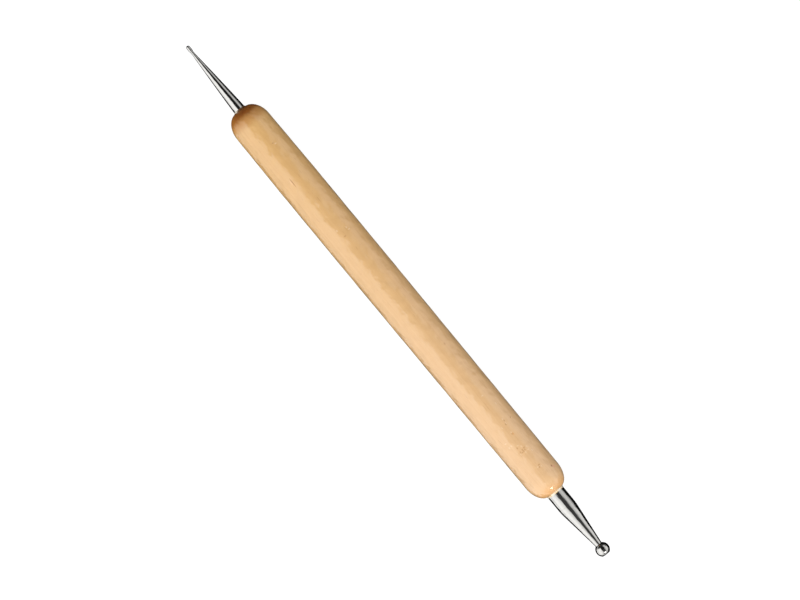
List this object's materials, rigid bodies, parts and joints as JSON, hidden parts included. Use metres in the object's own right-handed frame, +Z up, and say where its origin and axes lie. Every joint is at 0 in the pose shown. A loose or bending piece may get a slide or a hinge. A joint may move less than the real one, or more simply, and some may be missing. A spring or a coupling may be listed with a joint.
{
  "type": "embossing stylus",
  "caption": "Double-ended embossing and dotting stylus: a slim turned wooden handle with a ball-tipped steel stylus glued into one end and a fine-tipped one into the other.",
  "frame": {"origin": "under the middle of the tool's overall length, on the surface that the tool lies on", "axes": "+X along the tool towards the large ball, +Z up from the surface, +Y completes the right-handed frame"},
  "size_m": [0.1298, 0.0084, 0.0084],
  "materials": {
    "lacquered_wood": "pale straight-grained hardwood under clear satin-gloss lacquer",
    "polished_steel": "turned and polished stainless steel with fine turning marks",
    "cured_glue": "clear, slightly amber cured adhesive, glossy"
  },
  "bodies": {
    "root": {"handle": "lacquered_wood", "ball_stylus": "polished_steel", "fine_stylus": "polished_steel", "ball_socket_glue": "cured_glue", "fine_socket_glue": "cured_glue"}
  },
  "joints": []
}
